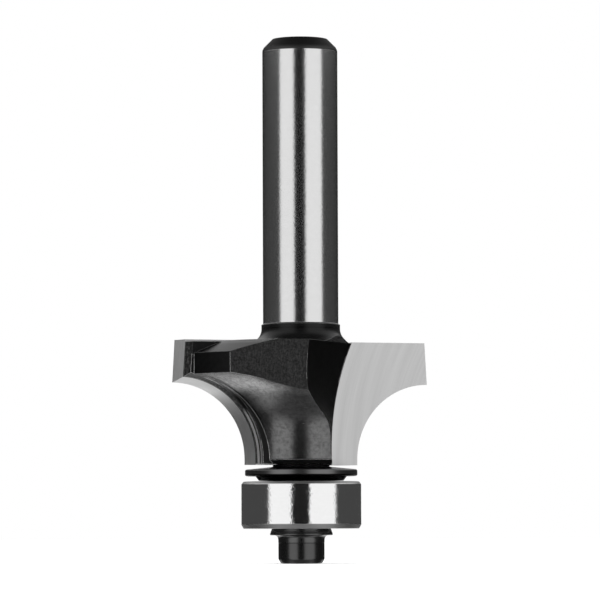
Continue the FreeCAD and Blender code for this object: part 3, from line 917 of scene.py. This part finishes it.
def dress_node(name: str, finish: Finish, crease: float = 28.0) -> None:
    """Dress a CAD node that stays, and shade it smoothly up to its real edges.

    Args:
        name: the node.
        finish: its finish.
        crease: the angle between faces from which an edge stays sharp.
    """
    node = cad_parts[name]
    node.data.materials.clear()
    node.data.materials.append(Wardrobe.get(finish))
    node.data.polygons.foreach_set("use_smooth", np.ones(len(node.data.polygons), bool))
    weld = node.modifiers.new("join_triangles", "WELD")
    weld.merge_threshold = WELD_REACH
    split = node.modifiers.new("real_edges", "EDGE_SPLIT")
    split.split_angle = math.radians(crease)
    even = node.modifiers.new("even_shading", "WEIGHTED_NORMAL")
    even.mode = "FACE_AREA_WITH_ANGLE"
    even.keep_sharp = True
    log.info("%s: dressed in %s", name, finish.label)


@dataclass
class CutterHead:
    """Cutter body, carbide tips and braze seams, which keep their CAD shapes."""

    # the body's edges get a painted highlight of bright bare steel
    blank: Finish = BlankFinish(
        "blackened_blank", Slot.BODY, tone=0.72, roughness=0.17, relief_depth=0.0035,
        edge_rounding=0.08, edge_highlight_tone=0.85, grazing=0.45,
    )
    carbide: Finish = GroundCarbideFinish(
        "ground_carbide", Slot.CARBIDE, tone=0.56, roughness=0.36, relief_depth=0.0015, edge_rounding=0.015,
    )
    filler: Finish = Finish("braze_filler", Slot.BRAZE, tone=0.10, roughness=0.4, relief_depth=0.01)
    wings: int = 2

    def build(self) -> None:
        """Dress the nodes."""
        dress_node("cutter_body", self.blank)
        for wing in range(1, self.wings + 1):
            dress_node(f"carbide_tip_{wing}", self.carbide)
            dress_node(f"braze_seam_{wing}", self.filler)


@dataclass
class DustWasher:
    """The coned washer between head and bearing."""

    bottom: float = 8.678
    contact_radius: float = 3.15
    contact_height: float = 0.1
    boss_radius: float = 4.48
    boss_height: float = 0.47
    boss_flare: float = 0.37
    rim_radius: float = 5.95
    rim_height: float = 0.7
    rim_rounding: float = 0.2
    cone_height: float = 0.3
    cone_radius: float = 3.0
    bore_radius: float = 2.43
    # the washer's underside, below 9.42 mm, gets painted shade
    steel: Finish = TurnedFinish("washer_steel", Slot.TURNED, tone=0.16, roughness=0.3, painted_shade_below=9.42)

    def build(self) -> None:
        """Turn the washer and let it replace its node."""
        boss = self.bottom + self.contact_height
        rim = boss + self.boss_height
        top = rim + self.rim_height
        shoulder = top + self.cone_height
        piece = turned("washer_turned", [
            Corner(self.bore_radius, self.bottom, 0.05),
            Corner(self.contact_radius, self.bottom, 0.04),
            Corner(self.contact_radius, boss, 0.04),
            Corner(self.boss_radius, boss, 0.05),
            Corner(self.boss_radius + self.boss_flare, rim, 0.06),
            Corner(self.rim_radius, rim, self.rim_rounding),
            Corner(self.rim_radius, top, self.rim_rounding),
            Corner(self.cone_radius, shoulder, 0.05),
            Corner(self.bore_radius, shoulder, 0.05),
        ])
        finish_piece(piece, self.steel, Body.ROOT, "dust_washer")


@dataclass
class GuideBearing:
    """The guide bearing: rings, shields, cage and balls."""

    bottom: float = 3.7
    width: float = 4.978
    outer_radius: float = 6.35
    bore_radius: float = 2.39
    chamfer_run: float = 0.24
    chamfer_top: float = 0.3
    chamfer_bottom: float = 0.45
    chamfer_rounding: float = 0.12
    inner_chamfer: float = 0.15
    inner_shoulder: float = 3.55
    outer_shoulder: float = 5.15
    seat_radius: float = 5.5
    seat_depth: float = 0.65
    shield_thickness: float = 0.2
    shield_gap: float = 0.13
    shield_bead: float = 0.09
    groove_radius: float = 1.2505
    race_gap: float = 0.02
    ball_radius: float = 1.1905
    ball_count: int = 7
    groove_points: int = 25
    shield_points: int = 33
    bead_place: float = 0.45
    bead_width: float = 0.14
    lip_share: float = 0.4
    lip_width: float = 0.06
    rivet_radius: float = 0.26
    rivet_foot: float = 0.2
    rivet_dome: float = 0.12
    rivet_tip: float = 0.02
    rim_steel: Finish = HonedFinish("honed_rim", Slot.BEARING, tone=0.88, roughness=0.09, relief_depth=0.009)
    race_steel: Finish = TurnedFinish(
        "race_steel", Slot.BEARING, tone=0.7, roughness=0.16, relief_depth=0.001,
    )
    shield_steel: Finish = TurnedFinish("pressed_shield", Slot.SHIELD, tone=0.5, roughness=0.3)
    ball_steel: Finish = Finish("polished_ball", Slot.BALL, tone=0.8, roughness=0.06, relief_depth=0.0003)
    cage_steel: Finish = Finish("pressed_cage", Slot.CAGE, tone=0.5, roughness=0.28, relief_depth=0.003)

    @property
    def top(self) -> float:
        """Height of the bearing's upper face."""
        return self.bottom + self.width

    @property
    def middle(self) -> float:
        """Height of the balls' centres."""
        return self.bottom + self.width / 2

    @property
    def pitch_radius(self) -> float:
        """Radius of the circle on which the balls run."""
        return (self.bore_radius + self.outer_radius) / 2

    def groove(self, shoulder: float, centre: float, way: int) -> np.ndarray:
        """Work out a race groove.

        It is the arc of the groove's radius about its centre, between the two heights where the arc
        meets the shoulder.

        Args:
            shoulder: radius of the land beside the groove.
            centre: radius of the groove's centre.
            way: -1 for the inner ring and 1 for the outer one.

        Returns:
            The points, as rows of (radius, height), going up.
        """
        half = math.asin(math.sqrt(self.groove_radius ** 2 - (centre - shoulder) ** 2) / self.groove_radius)
        swing = np.linspace(-half, half, self.groove_points)
        radius = centre + way * self.groove_radius * np.cos(swing)
        return np.stack([radius, self.middle + self.groove_radius * np.sin(swing)], axis=1)

    @staticmethod
    def ring(name: str, groove: np.ndarray, corners: list, steps: int, segments: int) -> bpy.types.Object:
        """Turn a ring, whose outline is its groove and rounded corners from the groove's end to its start.

        Args:
            name: the piece's name.
            groove: the groove's points.
            corners: the other corners, the solid on their left.
            steps: segments in each corner's arc.
            segments: steps round the axis.

        Returns:
            The new object.
        """
        rest = rounded([Corner(*groove[-1]), *corners, Corner(*groove[0])], loop=False, steps=steps)
        outline = np.concatenate([rest, groove[1:-1]])
        return RingSurface(name, outline[:, 0], outline[:, 1], segments).build()

    def outer_ring(self) -> bpy.types.Object:
        """Turn the outer ring, with a rounded rim, shield seats and its race.

        Returns:
            The new object.
        """
        centre = self.pitch_radius + self.ball_radius + self.race_gap - self.groove_radius
        groove = self.groove(self.outer_shoulder, centre, 1)[::-1]
        low, high = self.bottom + self.seat_depth, self.top - self.seat_depth
        corners = [
            Corner(self.outer_shoulder, low, 0.03),
            Corner(self.seat_radius, low, 0.02),
            Corner(self.seat_radius, self.bottom, 0.06),
            Corner(self.outer_radius - self.chamfer_run, self.bottom, self.chamfer_rounding),
            Corner(self.outer_radius, self.bottom + self.chamfer_bottom, self.chamfer_rounding),
            Corner(self.outer_radius, self.top - self.chamfer_top, self.chamfer_rounding),
            Corner(self.outer_radius - self.chamfer_run, self.top, self.chamfer_rounding),
            Corner(self.seat_radius, self.top, 0.06),
            Corner(self.seat_radius, high, 0.02),
            Corner(self.outer_shoulder, high, 0.03),
        ]
        return self.ring("outer_ring_turned", groove, corners, steps=7, segments=200)

    def inner_ring(self) -> bpy.types.Object:
        """Turn the inner ring, with its race and chamfered bore.

        Returns:
            The new object.
        """
        centre = self.pitch_radius - self.ball_radius - self.race_gap + self.groove_radius
        groove = self.groove(self.inner_shoulder, centre, -1)
        slope = self.inner_chamfer
        corners = [
            Corner(self.inner_shoulder, self.top, 0.06),
            Corner(self.bore_radius + slope, self.top, 0.03),
            Corner(self.bore_radius, self.top - slope, 0.03),
            Corner(self.bore_radius, self.bottom + slope, 0.03),
            Corner(self.bore_radius + slope, self.bottom, 0.03),
            Corner(self.inner_shoulder, self.bottom, 0.06),
        ]
        return self.ring("inner_ring_turned", groove, corners, steps=5, segments=160)

    def shield(self, name: str, low: float, way: int) -> bpy.types.Object:
        """Press a shield: a flat ring whose inner edge is turned in a little and whose middle is beaded.

        Bead and lip are bell curves across the ring, where 0 is its inner edge and 1 its outer one.

        Args:
            name: the piece's name.
            low: height of its underside.
            way: 1 if its outer side faces up, -1 if it faces down.

        Returns:
            The new object.
        """
        inner = self.inner_shoulder + self.shield_gap
        across = np.linspace(0.0, 1.0, self.shield_points)
        radius = inner + (self.seat_radius - inner) * across
        bead = self.shield_bead * np.exp(-((across - self.bead_place) / self.bead_width) ** 2)
        lip = self.shield_thickness * self.lip_share * np.exp(-(across / self.lip_width) ** 2)
        dip = way * (bead + lip)
        under = low - dip
        over = low + self.shield_thickness - dip
        rows_r = np.concatenate([radius, radius[::-1]])
        rows_z = np.concatenate([under, over[::-1]])
        return RingSurface(name, rows_r, rows_z).build()

    def rivets(self) -> bpy.types.Object:
        """Set a domed rivet head over and under the cage, halfway between each pair of balls.

        A head is a cap whose height falls off with the square root of one less the square of the
        distance from its middle.

        Returns:
            All the heads as one object.
        """
        sides, rings = 20, 7
        each = sides * rings
        rise = np.linspace(0.0, math.pi / 2, rings)
        around = np.linspace(0.0, FULL_TURN, sides, endpoint=False)
        cap_r = self.rivet_radius * np.cos(rise)[:, None] * np.ones(sides)
        cap_z = self.rivet_foot + self.rivet_dome * np.sin(rise)[:, None] * np.ones(sides)
        cap_r[-1] = self.rivet_radius * self.rivet_tip
        polar = (np.arange(self.ball_count) + 0.5) * FULL_TURN / self.ball_count
        x = self.pitch_radius * np.cos(polar)[:, None, None] + (cap_r * np.cos(around))[None]
        y = self.pitch_radius * np.sin(polar)[:, None, None] + (cap_r * np.sin(around))[None]
        levels = [np.broadcast_to(self.middle + way * cap_z, x.shape) for way in (1.0, -1.0)]
        grid = np.concatenate([np.stack([x, y, z], axis=-1) for z in levels])
        low, column = np.arange(rings - 1)[:, None] * sides, np.arange(sides)[None, :]
        high, beyond = low + sides, (column + 1) % sides
        face = np.stack([low + column, low + beyond, high + beyond, high + column], axis=-1).reshape(-1, 4)
        downs = np.arange(len(grid)) >= self.ball_count
        quads = [(face[:, ::-1] if down else face) + head * each for head, down in enumerate(downs)]
        last, first = np.arange(each - sides, each), np.arange(sides)
        top = [last[:: -1 if down else 1] + head * each for head, down in enumerate(downs)]
        base = [first[:: 1 if down else -1] + head * each for head, down in enumerate(downs)]
        mesh = bpy.data.meshes.new("cage_rivets")
        faces = np.concatenate(quads).tolist() + np.array(top + base).tolist()
        mesh.from_pydata((grid.reshape(-1, 3) * MM).tolist(), [], faces)
        mesh.update()
        return placed("cage_rivets", mesh)

    def build(self) -> None:
        """Build the rings, shields and rivets, and dress the balls and the cage."""
        finish_piece(self.outer_ring(), self.rim_steel, Body.OUTER_RING, "bearing_outer_ring")
        finish_piece(self.inner_ring(), self.race_steel, Body.ROOT, "bearing_inner_ring")
        upper = self.shield("shield_upper_pressed", self.top - self.seat_depth, 1)
        lower = self.shield("shield_lower_pressed", self.bottom + self.seat_depth - self.shield_thickness, -1)
        finish_piece(upper, self.shield_steel, Body.OUTER_RING, "bearing_shield_upper")
        finish_piece(lower, self.shield_steel, Body.OUTER_RING, "bearing_shield_lower")
        finish_piece(self.rivets(), self.cage_steel, Body.CAGE)
        for number in range(1, self.ball_count + 1):
            dress_node(f"bearing_ball_{number}", self.ball_steel)
        dress_node("bearing_cage_upper", self.cage_steel)
        dress_node("bearing_cage_lower", self.cage_steel)


@dataclass
class ClampCollar:
    """The flanged collar that holds the bearing up."""

    bottom: float = 2.2
    neck_radius: float = 2.46
    neck_height: float = 0.4
    fillet: float = 0.4
    flange_radius: float = 3.38
    top_radius: float = 3.12
    flange_height: float = 0.7
    bore_radius: float = 1.6
    flange_rounding: float = 0.13
    steel: Finish = TurnedFinish("collar_steel", Slot.TURNED, tone=0.12, roughness=0.26)

    def build(self) -> None:
        """Turn the collar and let it replace its node."""
        flange = self.bottom + self.neck_height + self.fillet
        top = flange + self.flange_height
        piece = turned("collar_turned", [
            Corner(self.bore_radius, self.bottom, 0.04),
            Corner(self.neck_radius, self.bottom, 0.04),
            Corner(self.neck_radius, flange, self.fillet),
            Corner(self.flange_radius, flange, self.flange_rounding),
            Corner(self.top_radius, top, 0.06),
            Corner(self.bore_radius, top, 0.04),
        ])
        finish_piece(piece, self.steel, Body.ROOT, "clamp_collar")


@dataclass
class RetainingScrew:
    """The socket screw: a round head with a hex socket, and a thread."""

    head_radius: float = 2.45
    head_height: float = 2.2
    chamfer_run: float = 0.31
    chamfer_height: float = 0.5
    key_size: float = 2.38
    socket_depth: float = 1.3
    socket_mouth: float = 1.48
    socket_floor_share: float = 0.985
    drill_radius: float = 1.0
    drill_depth: float = 1.62
    thread_radius: float = 1.5
    root_radius: float = 1.2
    pitch: float = 0.5
    tip_height: float = 10.8
    neck_top: float = 2.5
    thread_start: float = 2.9
    run_out: float = 0.35
    point_run: float = 0.4
    flank_slope: float = 2.6
    flank_offset: float = 0.8
    rings_per_pitch: int = 12
    toe_rounding: float = 0.25
    side_rounding: float = 0.45
    edge_break: float = 0.012
    corner_break: float = 0.02
    segments: int = 144
    steel: Finish = TurnedFinish("screw_steel", Slot.SCREW, tone=0.095, roughness=0.25, relief_depth=0.003)

    def hexagon(self) -> np.ndarray:
        """Return the socket's radius all round: half its width over the cosine of the angle from a flat."""
        angle = np.linspace(0.0, 360.0, self.segments, endpoint=False)
        return self.key_size / 2 / np.cos(np.radians(angle % 60.0 - 30.0))

    def thread(self) -> tuple:
        """Work out the thread as a relief on a cylinder.

        The radius swings between root and crest once each pitch up the screw, and the swing is turned
        once with each turn round it. It dies out below the start and above the point.

        Returns:
            The radii and the heights, one row for each ring.
        """
        foot = self.thread_start - self.run_out
        rings = np.arange(foot, self.tip_height - self.corner_break, self.pitch / self.rings_per_pitch)
        height = rings[:, None]
        angle = np.linspace(0.0, 1.0, self.segments, endpoint=False)[None, :]
        phase = (height / self.pitch - angle) % 1.0
        crest = np.clip(self.flank_slope * np.abs(phase - 0.5) * 2 - self.flank_offset, 0.0, 1.0)
        run_out = np.clip((height - self.thread_start + self.run_out) / self.run_out, 0.0, 1.0)
        depth = (self.thread_radius - self.root_radius) * run_out
        full = self.thread_radius - depth * (1.0 - crest)
        point = self.thread_radius - np.clip(height - (self.tip_height - self.point_run), 0.0, None)
        return np.minimum(full, point), np.broadcast_to(height, full.shape)

    def build(self) -> None:
        """Join socket, head and thread into one skin and let it replace its node."""
        hexagon = self.hexagon()
        ones = np.ones(self.segments)
        mouth = self.socket_mouth - hexagon
        socket = [
            (ones * self.drill_radius * 0.5, ones * (self.drill_depth + self.socket_depth) / 2),
            (ones * self.drill_radius, ones * self.socket_depth),
            (hexagon * self.socket_floor_share, ones * self.socket_depth),
            (hexagon, ones * (self.socket_depth - self.corner_break)),
            (hexagon, mouth + self.corner_break),
            (hexagon + self.edge_break, mouth - self.edge_break),
        ]
        head = rounded([
            Corner(self.socket_mouth - self.corner_break, self.corner_break),
            Corner(self.socket_mouth, 0.0, 0.01),
            Corner(self.head_radius - self.chamfer_run, 0.0, self.toe_rounding),
            Corner(self.head_radius, self.chamfer_height, self.side_rounding),
            Corner(self.head_radius, self.head_height, 0.06),
            Corner(self.thread_radius, self.head_height, 0.05),
            Corner(self.thread_radius, self.neck_top),
        ], loop=False)
        thread_r, thread_z = self.thread()
        radius = np.concatenate([np.stack([r for r, _ in socket]), head[:, :1] * ones, thread_r])
        height = np.concatenate([np.stack([z for _, z in socket]), head[:, 1:] * ones, thread_z])
        surface = RingSurface("socket_screw", radius, height, self.segments, loop=False)
        piece = surface.build(np.array([self.drill_depth, self.tip_height]))
        finish_piece(piece, self.steel, Body.ROOT, "retaining_screw")


@dataclass
class Studio:
    """White surroundings, a white floor, dark flags that only mirrored light meets, and the camera.

    Azimuths are 0 towards the camera and grow to the right; levels are how bright a flag looks. The
    sensor and the lens are in mm like the places, and clip is in metres.
    """

    camera_distance: float = 450.0
    camera_height: float = 3.0
    camera_across: float = -0.15
    pitch_up: float = 3.17
    roll: float = 0.195
    sensor: float = 36.0
    lens: float = 254.9
    clip: tuple = (0.01, 50.0)
    floor_reach: float = 2500.0
    floor_lift: float = 0.35
    paper_tone: float = 0.9
    flag_reach: float = 260.0
    flag_rings: int = 48
    flag_segments: int = 96
    gap: tuple = (-18.5, 15.5)
    boxes: tuple = (-64.3, 69.3)
    backdrop: float = 170.0
    gap_soft: float = 2.5
    box_soft: float = 4.0
    gap_foot: tuple = (-62.0, -45.0)
    side_foot: tuple = (-62.0, -42.0)
    side_head: tuple = (27.0, 20.0)
    rear_side: tuple = (138.0, 152.0)
    rear_foot: tuple = (-8.0, -22.0)
    ceiling: tuple = (40.0, 65.0)
    table: tuple = (-38.0, -56.0)
    table_side: tuple = (95.0, 60.0)
    under: tuple = (-64.0, -80.0)
    gap_level: float = 0.014
    side_level: float = 0.06
    top_level: float = 0.05
    low_level: float = 0.2

    def world(self) -> None:
        """Surround everything with plain white of strength 1."""
        world = bpy.data.worlds.new("white_surroundings")
        bpy.context.scene.world = world
        world.use_nodes = True
        nodes = world.node_tree.nodes
        nodes["Background"].inputs["Color"].default_value = (1.0, 1.0, 1.0, 1.0)
        nodes["Background"].inputs["Strength"].default_value = 1.0
        world.cycles.sampling_method = "NONE"

    def floor(self) -> None:
        """Lay the white floor, which takes the bit's soft shadow and is lifted to plain white elsewhere."""
        reach = self.floor_reach * MM
        corners = [(-reach, -reach, 0.0), (reach, -reach, 0.0), (reach, reach, 0.0), (-reach, reach, 0.0)]
        mesh = bpy.data.meshes.new("floor")
        mesh.from_pydata(corners, [], [(0, 1, 2, 3)])
        floor = placed("floor", mesh)
        made, graph = open_material("white_floor")
        colour = (self.paper_tone, self.paper_tone, self.paper_tone, 1.0)
        paper = graph.node("ShaderNodeBsdfDiffuse", {}, {"Color": colour})
        path = graph.node("ShaderNodeLightPath", {}, {})
        seen = Signal(graph, path.outputs["Is Camera Ray"])
        for ray in ("Is Glossy Ray", "Is Transmission Ray"):
            seen = seen.math("MAXIMUM", seen, Signal(graph, path.outputs[ray]))
        lift = graph.node("ShaderNodeEmission", {}, {"Strength": seen * self.floor_lift})
        both = graph.node("ShaderNodeAddShader", {}, {0: paper.outputs[0], 1: lift.outputs[0]})
        graph.node("ShaderNodeOutputMaterial", {}, {0: both.outputs[0]})
        made.cycles.emission_sampling = "NONE"
        mesh.materials.append(made)
        floor.visible_glossy = False

    def flag_light(self, graph: Graph) -> tuple:
        """Work out the flags from the direction of each point of the dome.

        The gap between the two softboxes, the sides beyond them, the ceiling and the table in front are
        flagged; the backdrop and the table behind stay white.

        Args:
            graph: the flags' tree.

        Returns:
            How far each direction is covered by a flag, and that flag's own level.
        """
        azimuth = graph.x.math("ARCTAN2", graph.x, graph.y * -1.0) * (180.0 / math.pi)
        elevation = graph.z.math("ARCTAN2", graph.z, graph.radius) * (180.0 / math.pi)
        gap = azimuth.within(*self.gap, self.gap_soft) * elevation.rise(*self.gap_foot)
        left = azimuth.within(-self.backdrop, self.boxes[0], self.box_soft)
        right = azimuth.within(self.boxes[1], self.backdrop, self.box_soft)
        rear = abs(azimuth).rise(*self.rear_side) * elevation.rise(*self.rear_foot)
        side = (left + right) * elevation.rise(*self.side_foot) * elevation.rise(*self.side_head) * (1 - rear)
        top = elevation.rise(*self.ceiling)
        table = elevation.rise(*self.table) * abs(azimuth).rise(*self.table_side)
        low = table.math("MAXIMUM", table, elevation.rise(*self.under))
        cover = 1 - (1 - gap) * (1 - side) * (1 - top) * (1 - low)
        level = side.blend(self.gap_level, self.side_level)
        level = top.blend(level, self.top_level)
        return cover, low.blend(level, self.low_level)

    def flags(self) -> None:
        """Hang the flags as one dome round the bit, seen only by mirrored light."""
        reach = self.flag_reach
        swing = np.linspace(-math.pi / 2, math.pi / 2, self.flag_rings + 2)[1:-1]
        out, up = reach * np.cos(swing), reach * np.sin(swing)
        dome = RingSurface("studio_flags", out, up, self.flag_segments, loop=False)
        flags = dome.build(np.array([-reach, reach]))
        made, graph = open_material("flag_cloth")
        cover, level = self.flag_light(graph)
        cloth = graph.node("ShaderNodeEmission", {}, {"Color": graph.grey(level), "Strength": 1.0})
        opening = graph.node("ShaderNodeBsdfTransparent", {}, {})
        both = graph.node("ShaderNodeMixShader", {}, {0: cover, 1: opening.outputs[0], 2: cloth.outputs[0]})
        graph.node("ShaderNodeOutputMaterial", {}, {0: both.outputs[0]})
        made.cycles.emission_sampling = "NONE"
        flags.data.materials.append(made)
        flags.visible_camera = False
        flags.visible_diffuse = False
        flags.visible_shadow = False
        flags.visible_volume_scatter = False

    def camera(self) -> None:
        """Set the camera at the photograph's place, far off with a long lens."""
        data = bpy.data.cameras.new("camera")
        data.sensor_width = self.sensor
        data.lens = self.lens
        data.clip_start, data.clip_end = self.clip
        camera = placed("camera", data)
        camera.location = (self.camera_across * MM, -self.camera_distance * MM, self.camera_height * MM)
        camera.rotation_euler = (math.radians(90.0 + self.pitch_up), math.radians(self.roll), 0.0)
        bpy.context.scene.camera = camera

    def build(self) -> None:
        """Set up surroundings, floor, flags and camera."""
        self.world()
        self.floor()
        self.flags()
        self.camera()
        bpy.context.scene.view_settings.view_transform = "Standard"
        log.info("studio ready")


def main() -> None:
    """Build every assembly in order up the stack, then the studio."""
    logging.basicConfig(level=logging.INFO)
    for assembly in (RetainingScrew(), ClampCollar(), GuideBearing(), DustWasher(), CutterHead(), Studio()):
        assembly.build()


if __name__ == "__main__":
    main()
